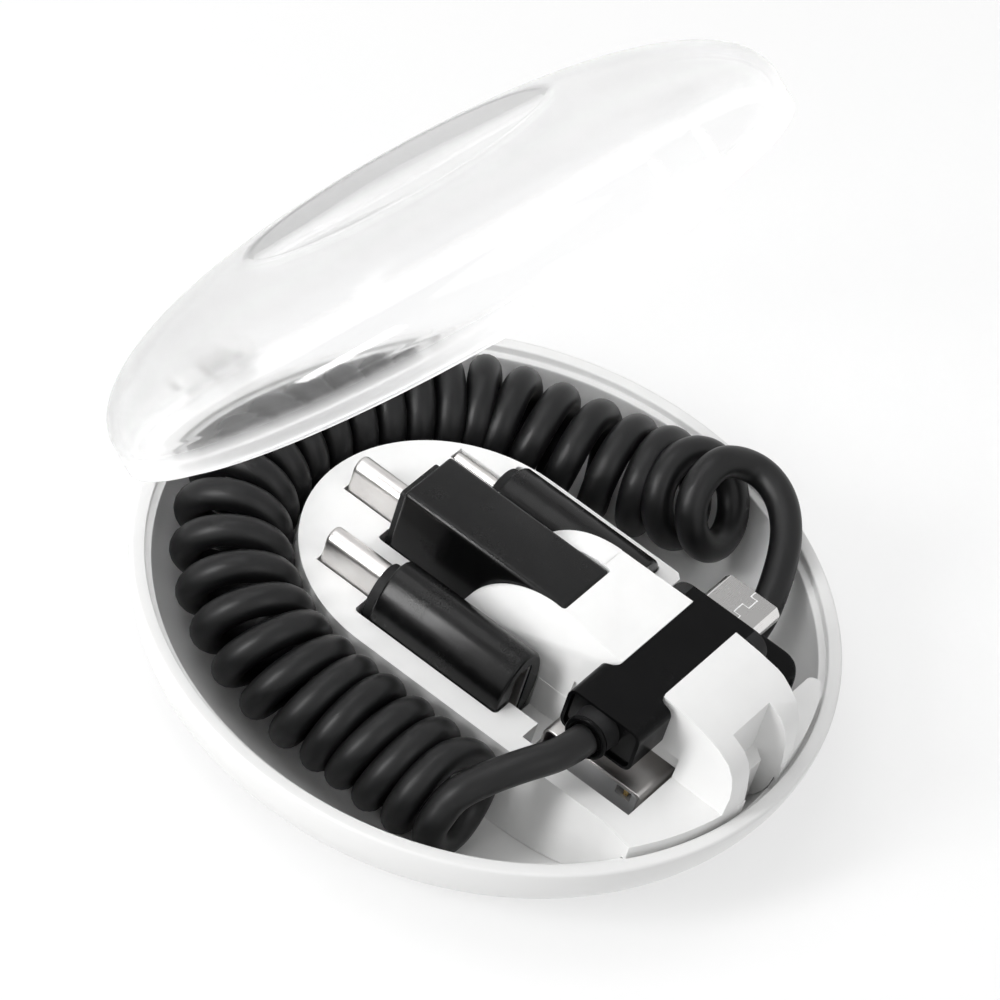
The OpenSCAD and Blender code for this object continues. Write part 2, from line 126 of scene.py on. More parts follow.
class Finish:
    def __init__(self, name, world=None):
        holder = world or bpy.data.materials.new(name)
        holder.use_nodes = True
        self.holder = holder
        self.tree = holder.node_tree
        self.tree.nodes.clear()
        self.world = world

    # One node with its settings and inputs, given as the chosen output
    def add(self, kind, settings=None, inputs=None, output=0):
        node = self.tree.nodes.new(kind)
        for key, value in (settings or {}).items():
            setattr(node, key, value)
        for key, value in (inputs or {}).items():
            if isinstance(value, Value):
                self.tree.links.new(value.socket, node.inputs[key])
            else:
                node.inputs[key].default_value = value
        return Value(self, node.outputs[output])

    # Noise in object space, stretched by the three factors, in cells per millimetre
    def noise(self, scale, stretch=(1, 1, 1), detail=3, rough=0.55):
        place = self.add("ShaderNodeTexCoord", output="Object")
        place = self.add("ShaderNodeVectorMath", {"operation": "MULTIPLY"},
                         {0: place, 1: tuple(k * scale / unit for k in stretch)})
        return self.add("ShaderNodeTexNoise", {}, {"Vector": place, "Scale": 1.0, "Detail": detail,
                                                   "Roughness": rough})

    # Straight line: the value's way from start to end becomes low to high, and is clamped
    def ramp(self, value, low, high, start=0.3, end=0.7):
        return self.add("ShaderNodeMapRange", {}, {"Value": value, "From Min": start, "From Max": end,
                                                   "To Min": low, "To Max": high})

    # Colour between two: first * (1 - value) + second * value
    def tint(self, value, first, second):
        first, second = (c if isinstance(c, Value) else (*c, 1) for c in (first, second))
        return self.add("ShaderNodeMix", {"data_type": "RGBA"}, {0: value, 6: first, 7: second}, 2)

    # The number that the mesh carries under this name
    def mark(self, name):
        return self.add("ShaderNodeAttribute", {"attribute_name": name}, output="Fac")

    # Normal tilted by the slope of the height times the depth in millimetres
    def bump(self, height, depth):
        return self.add("ShaderNodeBump", {}, {"Height": height, "Distance": depth * unit, "Strength": 1.0})

    # Plastic, glass or metal; a keyword's underscores stand for the spaces in its socket's name
    def surface(self, **inputs):
        names = {key.replace("_", " "): value for key, value in inputs.items()}
        return self.add("ShaderNodeBsdfPrincipled", {}, names)

    # The shader goes to the output of the material or the world
    def done(self, shader):
        kind = "ShaderNodeOutputWorld" if self.world else "ShaderNodeOutputMaterial"
        output = self.tree.nodes.new(kind)
        self.tree.links.new(shader.socket, output.inputs["Surface"])
        return self.holder


# Plain plastic or metal: colour and roughness go from the first to the second with broad noise,
# and a share of the fine grain is added to the roughness. The grain is given in cells per
# millimetre and its depth in millimetres. Faces marked level take their own colour, which is a
# painted shade: a darker tone for faces turned straight up or down.
def makeFinish(name, colours, roughness, grain=(6, 0.01), stretch=(1, 1, 1), metal=0.0, gloss=0.5, broad=0.25,
               level=None, grainShare=0.6):
    f = Finish(name)
    cells, depth = grain
    drift = f.noise(broad)
    fine = f.noise(cells, stretch, detail=4)
    colour = f.tint(f.ramp(drift, 0, 1), *colours)
    if level:
        colour = f.tint(f.mark("level"), colour, level)
    bump = {"Normal": f.bump(fine, depth)} if depth else {}
    return f.done(f.surface(
        Base_Color=colour,
        Roughness=f.ramp(drift + (fine - 0.5) * grainShare, *roughness),
        Metallic=metal,
        Specular_IOR_Level=gloss,
        **bump))


# Clear lid: glassy plastic under a pale veil. The veil's share is the larger of two: a ramp over
# how far the surface turns away, and the mesh's edge attribute, which rises near the rim. The
# share shine of a lamp's light goes straight through. The veil also carries a painted glow: a
# weak white emission, set by glow, that brightens the lid though it is no lamp.
clearPlastic = dict(clear=(0.982, 0.982, 0.984), clearRough=(0.04, 0.07), clearBend=1.45,
                    veil=(0.99, 0.99, 0.99), veilRough=(0.7, 0.8), veilBend=1.12, glow=0.17,
                    broad=0.12, blend=0.3, share=(0.06, 0.4), turned=(0.2, 1.0), shine=0.9)


def makeLidFinish(name, c):
    f = Finish(name)
    drift = f.noise(c["broad"])
    facing = f.add("ShaderNodeLayerWeight", {}, {"Blend": c["blend"]}, "Facing")
    clear = f.surface(Base_Color=(*c["clear"], 1), Roughness=f.ramp(drift, *c["clearRough"]),
                      IOR=c["clearBend"], Transmission_Weight=1.0)
    # Veil: milky plastic with a painted glow, a weak white emission that lights the lid up
    veil = f.surface(Base_Color=(*c["veil"], 1), Roughness=f.ramp(drift, *c["veilRough"]),
                     IOR=c["veilBend"], Transmission_Weight=1.0, Emission_Color=(1, 1, 1, 1),
                     Emission_Strength=c["glow"])
    share = f.ramp(facing, *c["share"], *c["turned"]).most(f.mark("edge"))
    plastic = f.add("ShaderNodeMixShader", {}, {0: share, 1: clear, 2: veil})
    shadow = f.add("ShaderNodeLightPath", output="Is Shadow Ray") * c["shine"]
    through = f.add("ShaderNodeBsdfTransparent")
    return f.done(f.add("ShaderNodeMixShader", {}, {0: shadow, 1: plastic, 2: through}))


finishes = dict(
    case=makeFinish("glossCase", [(0.81, 0.81, 0.805), (0.82, 0.82, 0.815)], (0.33, 0.36), (0.1, 0),
                    broad=0.05),
    tray=makeFinish("glossTray", [(0.81, 0.81, 0.805), (0.83, 0.83, 0.825)], (0.28, 0.34), (0.6, 0)),
    lid=makeLidFinish("frostedLid", clearPlastic),
    cord=makeFinish("rubberCord", [(0.003, 0.003, 0.0033), (0.005, 0.005, 0.0053)], (0.38, 0.46), (8, 0.005),
                    gloss=0.3),
    plug=makeFinish("satinPlug", [(0.0015, 0.0015, 0.0016), (0.0025, 0.0025, 0.0026)], (0.21, 0.28),
                    (6, 0.005), gloss=0.24),
    gloss=makeFinish("glossPlug", [(0.002, 0.002, 0.0022), (0.003, 0.003, 0.0032)], (0.18, 0.24), (3, 0.001),
                     gloss=0.07),
    rough=makeFinish("darkPlug", [(0.011, 0.011, 0.0115), (0.016, 0.016, 0.0165)], (0.5, 0.62), (7, 0.03),
                     gloss=0.2),
    steel=makeFinish("brushedSteel", [(0.56, 0.54, 0.53), (0.64, 0.63, 0.62)], (0.28, 0.36), (5, 0.002),
                     (0.04, 1, 1), metal=1.0),
    # The shell's level colour is painted shade: its faces turned straight up or down get a darker grey
    shell=makeFinish("brushedShell", [(0.72, 0.71, 0.70), (0.78, 0.77, 0.76)], (0.24, 0.32), (5, 0.003),
                     (1, 0.04, 1), metal=1.0, level=(0.38, 0.375, 0.37)),
    # Seam glint: a painted highlight, white plastic standing for the light caught along the shell's seam
    seamGlint=makeFinish("paintedSeamGlint", [(0.9, 0.9, 0.9), (0.95, 0.95, 0.95)], (0.3, 0.4), (4, 0.002)),
    tongue=makeFinish("greyTongue", [(0.36, 0.36, 0.365), (0.44, 0.44, 0.445)], (0.3, 0.4), (0.5, 0.002)),
    core=makeFinish("darkCore", [(0.012, 0.012, 0.013), (0.02, 0.02, 0.021)], (0.45, 0.55), (6, 0.01)),
    contact=makeFinish("goldContact", [(0.78, 0.55, 0.22), (0.85, 0.62, 0.28)], (0.25, 0.32), (6, 0.003),
                       metal=1.0),
)
print("finishes", len(finishes))


sameSpot = 1e-7                        # points of a new mesh closer than this are one, metres
copied = dict(merge=2e-6, flat=0.6)    # the same for a CAD piece, and faces within these degrees join


# Quads of a table of rings: point c of ring r, the next one round, and the same two of ring r + 1
def sheetFaces(rows, columns):
    r = np.arange(rows - 1)[:, None]
    c = np.arange(columns)[None, :]
    n = (c + 1) % columns
    return np.stack([r * columns + c, r * columns + n, (r + 1) * columns + n, (r + 1) * columns + c],
                    axis=-1).reshape(-1, 4)


# A piece from points in millimetres: doubles are merged and the normals turned outwards
def finishMesh(name, points, faces, finish, body, replaced=(), smooth=35):
    mesh = bpy.data.meshes.new(name)
    places = np.asarray(points, float).reshape(-1, 3) * unit
    mesh.from_pydata(places.tolist(), [], [list(map(int, f)) for f in faces])
    piece = bpy.data.objects.new(name, mesh)
    bpy.context.scene.collection.objects.link(piece)
    work = bmesh.new()
    work.from_mesh(mesh)
    bmesh.ops.remove_doubles(work, verts=work.verts, dist=sameSpot)
    bmesh.ops.recalc_face_normals(work, faces=work.faces)
    work.to_mesh(mesh)
    work.free()
    return dress(piece, finish, body, replaced, smooth)


# The piece's finish, smoothing up to an angle, body, slot, and the CAD pieces it stands for
def dress(piece, finish, body, replaced=(), smooth=35):
    piece.data.materials.clear()
    piece.data.materials.append(finishes[finish])
    piece.data.shade_smooth()
    piece.data.set_sharp_from_angle(angle=math.radians(smooth))
    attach(piece, body)
    if replaced:
        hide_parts(*replaced)
    return piece


# A skin over a stack of rings, with the first and last one filled by flat caps
def loft(name, rings, finish, body, replaced=(), smooth=35, caps=True):
    rings = np.asarray(rings, float)
    rows, columns = rings.shape[:2]
    faces = sheetFaces(rows, columns).tolist()
    if caps:
        faces += [list(range(columns))[::-1], list(range((rows - 1) * columns, rows * columns))]
    return finishMesh(name, rings, faces, finish, body, replaced, smooth)


# A bevel of the width in millimetres along the edges sharper than the angle
def soften(piece, width, segments=3, angle=30):
    bevel = piece.modifiers.new("soften", "BEVEL")
    bevel.width = width * unit
    bevel.segments = segments
    bevel.limit_method = "ANGLE"
    bevel.angle_limit = math.radians(angle)
    bevel.use_clamp_overlap = True
    bevel.harden_normals = True
    return piece


# A rounded copy of a CAD piece: its points are merged, flat triangles join into one face each,
# and the edges are bevelled.
def softCopy(node, finish, width):
    piece = nodes[node].copy()
    piece.data = nodes[node].data.copy()
    piece.name = node.title().replace("_", "")
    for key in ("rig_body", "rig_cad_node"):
        if key in piece:
            del piece[key]
    piece.parent = None
    bpy.context.scene.collection.objects.link(piece)
    work = bmesh.new()
    work.from_mesh(piece.data)
    bmesh.ops.remove_doubles(work, verts=work.verts, dist=copied["merge"])
    bmesh.ops.dissolve_limit(work, angle_limit=math.radians(copied["flat"]), verts=work.verts,
                             edges=work.edges)
    work.to_mesh(piece.data)
    work.free()
    if width:
        soften(piece, width)
    return dress(piece, finish, "case", (node,))


# A solid from an outline in x and z, run along y, with softened edges
def prism(name, outline, y0, y1, width, finish, body, move=None):
    flat = np.asarray(outline, float)
    rings = np.stack([np.column_stack([flat[:, 0], np.full(len(flat), y), flat[:, 1]]) for y in (y0, y1)])
    if move is not None:
        rings = move(rings)
    return soften(loft(name, rings, finish, body), width)


# Points of an arc: centre + radius * (cos a, sin a), for a from start to end in degrees
def arc(centre, radius, start, end, count):
    a = np.radians(np.linspace(start, end, count))
    return np.column_stack([centre[0] + radius * np.cos(a), centre[1] + radius * np.sin(a)])


# Cord: the coil line of the CAD part carries turns of one radius. Each turn's top sits at the
# listed distance along the line, the turns lean by a small amount, and a curve through the lead
# points joins both ends to their plugs.
cord = dict(
    diameter=3.3, turnRadius=4.56, sides=18, step=0.3, ease=0.9, spanSteps=40, joinBack=60,
    coil=[(13.3, -22.3, 8.8), (8, -22.3, 8.6), (2, -22.3, 8.9), (-4.4, -22.4, 9), (-12, -21.1, 9.6),
          (-18.8, -17, 9.8), (-23.7, -11.2, 9.9), (-26.4, -3.9, 9.9), (-26.4, 3.9, 9.8), (-23.8, 11.2, 9.6),
          (-18.5, 18.6, 9.3), (-14.9, 21.3, 9.1), (-11, 22.9, 8.9), (-6.8, 24.4, 8.8), (-2.8, 25.5, 9),
          (0.2, 26.3, 9.3), (3.4, 26.9, 10), (7, 26.7, 11.6)],
    tops=[5.6, 9.1, 12.5, 15.7, 19.4, 23.3, 27.1, 31.3, 35.8, 40.3, 44.7, 49.1, 53.5, 57.8, 61.8, 65.5, 69,
          72.4, 75.8, 79.2, 83.2, 87.6, 92, 96, 100.4, 104.8],
    startTurns=(765, 715, 630, 540, 450), startPlaces=(-0.9, -0.5, -0.9, -0.1, 2.2),
    lastTurn=-8, lastPlace=2.2, lineStep=0.1, runOn=30, turnSteps=4000,
    leanPlaces=(0, 30, 60, 85, 102), lean=(0.26, 0.42, 0.74, 0.03, 0.85),
    smallLead=[(20.2, -13.48, 17.1), (19.6, -16.9, 16.9), (17.9, -19.9, 16.2), (15.6, -23.2, 14.3)],
    wideLead=[(9.6, 30.4, 15.8), (13.6, 30.1, 14.9), (17, 27.1, 13.2), (19.4, 22.3, 10.6), (20.3, 18.8, 9),
              (20.4, 15.92, 8.65)],
)


# A cubic for each span between two points; its slope at a point is half the way from the point
# before it to the point after it
def curveThrough(points, count):
    p = np.asarray(points, float)
    p = np.vstack([p[:1], p, p[-1:]])
    a, b, c, d = p[:-3, None], p[1:-2, None], p[2:-1, None], p[3:, None]
    u = np.linspace(0, 1, count, endpoint=False)[None, :, None]
    rows = 0.5 * (2 * b + (c - a) * u + (2 * a - 5 * b + 4 * c - d) * u ** 2
                  + (3 * b - a - 3 * c + d) * u ** 3)
    return np.vstack([rows.reshape(-1, 3), p[-1:]])


# Points at equal steps of the distance run along a line, with those distances
def evenly(points, step):
    run = np.concatenate([[0], np.cumsum(np.linalg.norm(np.diff(points, axis=0), axis=1))])
    at = np.linspace(0, run[-1], int(run[-1] / step) + 2)
    return at, np.stack([np.interp(at, run, points[:, k]) for k in range(3)], axis=1)


# Directions of length one, from the differences of the neighbours
def headings(points):
    ahead = np.gradient(points, axis=0)
    return ahead / np.linalg.norm(ahead, axis=1)[:, None]


# Turns about the line: line + radius * (cos a * side + sin a * rise). The angle a reaches a top
# at each listed place, and a point leans along the line by lean * sin a. The line runs on
# straight past both ends.
def coilTurns(c):
    run, line = evenly(curveThrough(c["coil"], c["spanSteps"]), c["lineStep"])
    gap = run[1]
    extra = np.arange(1, c["runOn"] + 1)[:, None]
    before = line[0] - extra[::-1] * (line[1] - line[0])
    after = line[-1] + extra * (line[-1] - line[-3]) / 2
    line = np.vstack([before, line, after])
    run = np.arange(-c["runOn"], len(run) + c["runOn"]) * gap
    ahead = headings(line)
    side = np.cross([0, 0, 1.0], ahead)
    side /= np.linalg.norm(side, axis=1)[:, None]
    rise = np.cross(ahead, side)
    count = len(c["tops"])
    places = np.concatenate([c["startPlaces"], c["tops"], [c["tops"][-1] + c["lastPlace"]]])
    angles = -np.concatenate([c["startTurns"], 90 - 360 * np.arange(count), [90 - 360 * count + 180]])
    turn = np.linspace(angles[0], angles[-2] + c["lastTurn"], c["turnSteps"])
    at = np.interp(turn, angles, places)
    turn = -np.radians(turn)
    where = at - np.interp(at, c["leanPlaces"], c["lean"]) * np.sin(turn)
    line, side, rise = (np.stack([np.interp(where, run, rows[:, k]) for k in range(3)], axis=1)
                        for rows in (line, side, rise))
    return line + c["turnRadius"] * (np.cos(turn)[:, None] * side + np.sin(turn)[:, None] * rise)


# The whole cord: the lead of the small plug, the turns, and the lead of the wide plug, eased by
# a running mean whose weights fall off as exp(-d^2 / 2) with the distance d in eases
def cordLine(c):
    middle = coilTurns(c)
    steps, back = c["spanSteps"], c["joinBack"]
    first = curveThrough(c["smallLead"] + [middle[0], middle[back]], steps)[:-steps]
    last = curveThrough([middle[-back - 1], middle[-1]] + c["wideLead"], steps)[steps:]
    points = evenly(np.vstack([first[:-1], middle, last[1:]]), c["step"])[1]
    reach = int(3 * c["ease"] / c["step"])
    weight = np.exp(-0.5 * (np.arange(-reach, reach + 1) * c["step"] / c["ease"]) ** 2)
    before = 2 * points[0] - points[reach:0:-1]
    after = 2 * points[-1] - points[-2:-reach - 2:-1]
    padded = np.vstack([before, points, after])
    eased = np.stack([np.convolve(padded[:, k], weight / weight.sum(), "valid") for k in range(3)], axis=1)
    eased[0], eased[-1] = points[0], points[-1]
    return evenly(eased, c["step"])[1]


# Rings square to the line: line + radius * (cos a * across + sin a * other), where a also takes
# back the twist between neighbouring rings. Across is square to a direction aside.
def tubeRings(line, radius, sides, aside=(0.3, 0.5, 0.81)):
    ahead = headings(line)
    across = np.cross(ahead, aside)
    across /= np.linalg.norm(across, axis=1)[:, None]
    other = np.cross(ahead, across)
    step = np.arctan2((across[1:] * other[:-1]).sum(1), (across[1:] * across[:-1]).sum(1))
    twist = np.concatenate([[0], -np.cumsum(step)])
    a = np.linspace(0, 2 * np.pi, sides, endpoint=False)[None, :] + twist[:, None]
    return line[:, None, :] + radius * (np.cos(a)[..., None] * across[:, None, :]
                                        + np.sin(a)[..., None] * other[:, None, :])


line = cordLine(cord)
cordPiece = loft("curlyCord", tubeRings(line, cord["diameter"] / 2, cord["sides"]), "cord", "case",
                 ("coil_cord", "small_lead", "wide_lead"), 60)


# Case bottom: a profile of (r, z) turned about z. The outside is foot + (radius - foot) * sin s
# across and (rim - rimRound) * (1 - cos s) up, and the inside is the same between floor and ledge.
# Near the latch the inner points are held below the floor of the notch, which is given as its
# inner and outer radius, half its width and its height.
case = dict(foot=22.2, radius=36, rim=11.1, floor=2, ledge=33.7, ledgeHeight=10.2, step=34.5, segments=288,
            rimRound=0.35, innerRound=0.2, ledgeRound=0.15, chamfer=0.08,
            notch=(31.7, 34.4, 3.3, 8.4), notchRadius=34, notchSlope=0.05, notchSlack=0.05, hair=1e-6)


def caseRings(c):
    s = np.radians(np.linspace(0, 90, 31))
    rimRound, innerRound, ledgeRound = c["rimRound"], c["innerRound"], c["ledgeRound"]
    outer = np.column_stack([c["foot"] + (c["radius"] - c["foot"]) * np.sin(s),
                             (c["rim"] - rimRound) * (1 - np.cos(s))])
    inner = np.column_stack([c["foot"] + (c["ledge"] - c["foot"]) * np.sin(s),
                             c["ledgeHeight"] - (c["ledgeHeight"] - c["floor"]) * np.cos(s)])[::-1]
    rim = arc((c["radius"] - rimRound, c["rim"] - rimRound), rimRound, 15, 90, 6)
    innerRim = arc((c["step"] + innerRound, c["rim"] - innerRound), innerRound, 90, 180, 5)
    corner = [(c["step"], c["ledgeHeight"] + c["chamfer"]), (c["step"] - c["chamfer"], c["ledgeHeight"])]
    lip = arc((c["ledge"] + ledgeRound, c["ledgeHeight"] - ledgeRound), ledgeRound, 90, 170, 4)
    profile = np.vstack([[(0, 0)], outer, rim, innerRim, corner, lip, inner[1:], [(0, c["floor"])]])
    x0, x1, half, low = c["notch"]
    edge = math.degrees(math.asin(half / c["notchRadius"]))
    beyond = edge + c["notchSlope"]
    angles = np.radians(np.sort(np.concatenate([np.linspace(-180, 180, c["segments"], endpoint=False),
                                                [-beyond, -edge, edge, beyond]])))
    r, z = np.broadcast_arrays(profile[:, 0][:, None], profile[:, 1][:, None] + 0 * angles[None, :])
    cut = (np.abs(angles)[None, :] <= math.radians(edge) + c["hair"]) & (z > low)
    cut &= (r > x0) & (r < x1 + c["notchSlack"])
    cut &= np.arange(len(profile))[:, None] > len(outer)
    z = np.where(cut, low, z)
    return np.stack([r * np.cos(angles), r * np.sin(angles), z], axis=-1)


loft("caseBowl", caseRings(case), "case", "case", ("base_shell",), 30, caps=False)


# Hinge: a pin between two ears of the case, which are outlines in x and z round the pin
hinge = dict(x=-39.2, z=14.2, knuckle=1.9, half=5.5, knuckleHalf=2.4, fit=0.1,
             ear=[(-40.72, 11), (-37, 8.2), (-34.8, 8.2), (-35.4, 10.7), (-37.3, 11.6)], earRound=0.22,
             arm=[(-35.37, 11.4), (-35.37, 13.85)], armArc=(78, 270), armRound=0.2)


# Ears: half a circle round the pin, closed by the ear's own points
def hingeParts(h):
    outline = np.vstack([arc((h["x"], h["z"]), h["knuckle"], 0, 180, 19), h["ear"]])
    inside, outside = h["knuckleHalf"] + h["fit"], h["half"]
    for name, y0, y1 in (("hingeLugFront", -outside, -inside), ("hingeLugBack", inside, outside)):
        prism(name, outline, y0, y1, h["earRound"], "case", "case")


hingeParts(hinge)
print("case and hinge")


# Lid: a turned shell in its closed place, opened about the pin. Its lip is left out in two gaps,
# given in degrees, at the latch and at the back, where it would meet the plug and the cord. Each
# end of the lip is a column of points pulled up to the seat. The lip goes in from the wall, down
# and out again, and plain is the same number of points for a wall with no lip.
lid = dict(open=53.1, radius=36.27, skirt=2.8, height=12.9, wall=1.2, allowance=0.15, seat=11.15,
           segments=288, middle=5, bulge=0.87, outerTo=72, innerFrom=89.99, edgeRound=0.3,
           crown=[(16.1, 12.45), (16, 12.4), (15.6, 12.38), (0, 12.38)],
           lipInner=33.75, lipOuter=34.4, lipTop=1.2, lipDepth=-0.6, lipChamfer=0.1,
           plain=[(0, 1.0), (0, 0.8), (0, 0.6), (0, 0.4), (0, 0.25), (0.05, 0.1), (0.1, 0)],
           gaps=[(-34, 34), (45, 96.7)], endSlope=0.03, hair=0.01,
           bandTop=2.2, bandFade=0.7, bandShare=0.8,
           tab=[(32.6, 14), (32.6, 10.8), (32.15, 10.1), (32.6, 9.7), (34.2, 9.7), (34.2, 11.35),
                (35.5, 11.35), (35.5, 14)], tabHalf=2.8, tabRound=0.15,
           rib=[(34.1, 13.2), (35.2, 13.2), (35.2, 16.6), (34.4, 16.9), (34.1, 16.9)], ribFrom=3.1, ribTo=3.7,
           ribRound=0.1)


# Points of the shut lid turned about the pin by the open angle, x and z as in a plane rotation
def opened(points):
    a = math.radians(-lid["open"])
    x, z = points[..., 0] - hinge["x"], points[..., 2] - hinge["z"]
    return np.stack([hinge["x"] + x * math.cos(a) + z * math.sin(a), points[..., 1],
                     hinge["z"] - x * math.sin(a) + z * math.cos(a)], axis=-1)


# Dome: middle + (radius - middle) * cos s ^ bulge across, skirt + (top - skirt) * sin s ^ bulge up
def domeCurve(c, s, top, radius):
    middle, skirt = c["middle"], c["skirt"]
    return np.column_stack([middle + (radius - middle) * np.cos(s) ** c["bulge"],
                            skirt + (top - skirt) * np.sin(s) ** c["bulge"]])


# Columns of (r, z), one for each angle, turned about z: edge, outside, crown, inside, and the lip
# or the plain wall
def lidRings(c):
    wall, under = c["radius"] - c["wall"], c["height"] - c["wall"] - c["allowance"]
    outer = domeCurve(c, np.radians(np.linspace(0, c["outerTo"], 37)), c["height"], c["radius"])
    inner = domeCurve(c, np.radians(np.linspace(c["innerFrom"], 0, 37)), under, wall)
    edge = arc((c["radius"] - c["edgeRound"], c["edgeRound"]), c["edgeRound"], -90, 0, 5)
    base = np.vstack([edge, outer[1:], c["crown"], [(0, under)], inner])
    top, depth, soft = c["lipTop"], c["lipDepth"], c["lipChamfer"]
    lip = np.array([(wall, top), (c["lipInner"], top), (c["lipInner"], depth + soft),
                    (c["lipInner"] + soft, depth), (c["lipOuter"] - soft, depth),
                    (c["lipOuter"], depth + soft), (c["lipOuter"], 0)])
    short = np.maximum(lip, (0, 0))
    plain = np.array(c["plain"]) + (wall, 0)
    ends = np.ravel(c["gaps"])
    angles = np.unique(np.concatenate([np.linspace(-180, 180, c["segments"], endpoint=False),
                                       ends, ends - c["endSlope"], ends + c["endSlope"]]))
    cut = np.any([(angles > a + c["hair"]) & (angles < b - c["hair"]) for a, b in c["gaps"]], axis=0)
    end = np.isin(angles, ends)
    low = np.where(end[None, :, None], short[:, None, :], lip[:, None, :])
    low = np.where(cut[None, :, None], plain[:, None, :], low)
    base = np.repeat(base[:, None, :], len(angles), axis=1)
    table = np.concatenate([base, low, base[:1]])
    r, z, a = table[..., 0], table[..., 1], np.radians(angles)[None, :]
    return opened(np.stack([r * np.cos(a), r * np.sin(a), z + c["seat"]], axis=-1))


lidShell = loft("lidShell", lidRings(lid), "lid", "cover", ("lid",), 30, caps=False)


# Height above the seat of each point of an opened piece in millimetres: z turned back, less seat
def heights(mesh):
    p = np.zeros(len(mesh.vertices) * 3)
    mesh.vertices.foreach_get("co", p)
    p = p.reshape(-1, 3) / unit
    a = math.radians(lid["open"])
    x, z = p[:, 0] - hinge["x"], p[:, 2] - hinge["z"]
    return hinge["z"] - x * math.sin(a) + z * math.cos(a) - lid["seat"]


# The edge attribute, from 0 to 1 at each point, is the least share of the lid's veil there
def markEdge(piece, share):
    values = np.zeros(len(piece.data.vertices), np.float32) + share
    piece.data.attributes.new("edge", "FLOAT", "POINT").data.foreach_set("value", values.astype(np.float32))


band = np.clip((lid["bandTop"] - heights(lidShell.data)) / lid["bandFade"], 0, 1)
markEdge(lidShell, band * lid["bandShare"])


# Arm round the pin, tab at the latch and two ribs, each an outline in x and z run along y
def lidParts(c, h):
    arm = np.vstack([arc((h["x"], h["z"]), h["knuckle"], *h["armArc"], 21), h["arm"]])
    for name, outline, y0, y1, width, share in (
            ("lidKnuckle", arm, -h["knuckleHalf"], h["knuckleHalf"], h["armRound"], None),
            ("lidTab", c["tab"], -c["tabHalf"], c["tabHalf"], c["tabRound"], 1.0),
            ("lidRibFront", c["rib"], -c["ribTo"], -c["ribFrom"], c["ribRound"], 1.0),
            ("lidRibBack", c["rib"], c["ribFrom"], c["ribTo"], c["ribRound"], 1.0)):
        piece = prism(name, outline, y0, y1, width, "lid", "cover", opened)
        if share:
            markEdge(piece, share)


lidParts(lid, hinge)
print("lid")


# Rounded copies of the moulded and pressed pieces: node, finish, slot, edge width
copies = [
    ("hinge_pin", "steel", "steel", 0.1),
    ("small_housing", "gloss", "plug", 0.35), ("small_front_panel", "plug", "plug", 0.12),
    ("small_insulator", "core", "core", 0.04),
    ("wide_housing", "gloss", "plug", 0.4), ("wide_contacts", "contact", "contact", 0.05),
    ("round_collar", "rough", "plug", 0.2), ("round_plug_core", "core", "core", 0.08),
    ("round_socket_shell", "steel", "steel", 0.05), ("round_socket_tongue", "core", "core", 0.08),
    ("block_collar", "rough", "plug", 0.2), ("block_plug_core", "core", "core", 0.08),
    ("block_socket_shell", "steel", "steel", 0.05), ("block_socket_tongue", "tongue", "tongue", 0.1),
    ("slim_collar", "rough", "plug", 0.2), ("slim_blade", "steel", "steel", 0.15),
    ("slim_contacts", "contact", "contact", 0.03), ("slim_socket_shell", "steel", "steel", 0.05),
    ("slim_socket_tongue", "core", "core", 0.08),
]
made = {node: softCopy(node, finish, width) for node, finish, slot, width in copies}
print("copies", len(made))


# Tray: the upright corners where the bridge meets the neck slot carry the larger rounding, as far
# as the faces beside them allow, and the other edges the small one. An edge is upright when it
# leans less and rises more than the given lengths.
tray = dict(corner=0.9, edge=0.2, slot=(17, 23.5), bridge=19, leans=0.2, rises=3)


def makeTray(c):
    piece = softCopy("tray_insert", "tray", 0)
    x0, x1 = c["slot"]
    work = bmesh.new()
    work.from_mesh(piece.data)
    weight = work.edges.layers.float.new("bevel_weight_edge")
    for edge in work.edges:
        a, b = (np.array(v.co) / unit for v in edge.verts)
        upright = np.hypot(*(a - b)[:2]) < c["leans"] and abs(a[2] - b[2]) > c["rises"]
        inSlot = x0 < a[0] < x1 and a[1] > 0 and max(a[2], b[2]) > c["bridge"]
        edge[weight] = float(upright and inSlot)
    work.to_mesh(piece.data)
    work.free()
    soften(piece, c["corner"], 6)
    piece.modifiers["soften"].limit_method = "WEIGHT"
    piece.modifiers["soften"].harden_normals = False
    soften(piece, c["edge"])


makeTray(tray)
print("tray")


# Faces whose centre lies beyond a place along y, in millimetres, take a second finish
def twoTone(piece, finish, y):
    mesh = piece.data
    mesh.materials.append(finishes[finish])
    centres = np.zeros(len(mesh.polygons) * 3)
    mesh.polygons.foreach_get("center", centres)
    mesh.polygons.foreach_set("material_index", (centres.reshape(-1, 3)[:, 1] > y * unit).astype(np.int32))


flangeFrom = 7.05    # the small plug's housing is matte beyond this place along y
twoTone(made["small_housing"], "rough", flangeFrom)


# Faces whose normal points up or down by more than the limit are marked level; they carry the
# painted shade, a darker colour for faces turned straight up or down
def markPaintedShadeFaces(piece, limit=0.97):
    normals = np.zeros(len(piece.data.polygons) * 3)
    piece.data.polygons.foreach_get("normal", normals)
    level = (np.abs(normals.reshape(-1, 3)[:, 2]) > limit).astype(np.float32)
    piece.data.attributes.new("level", "FLOAT", "FACE").data.foreach_set("value", level)


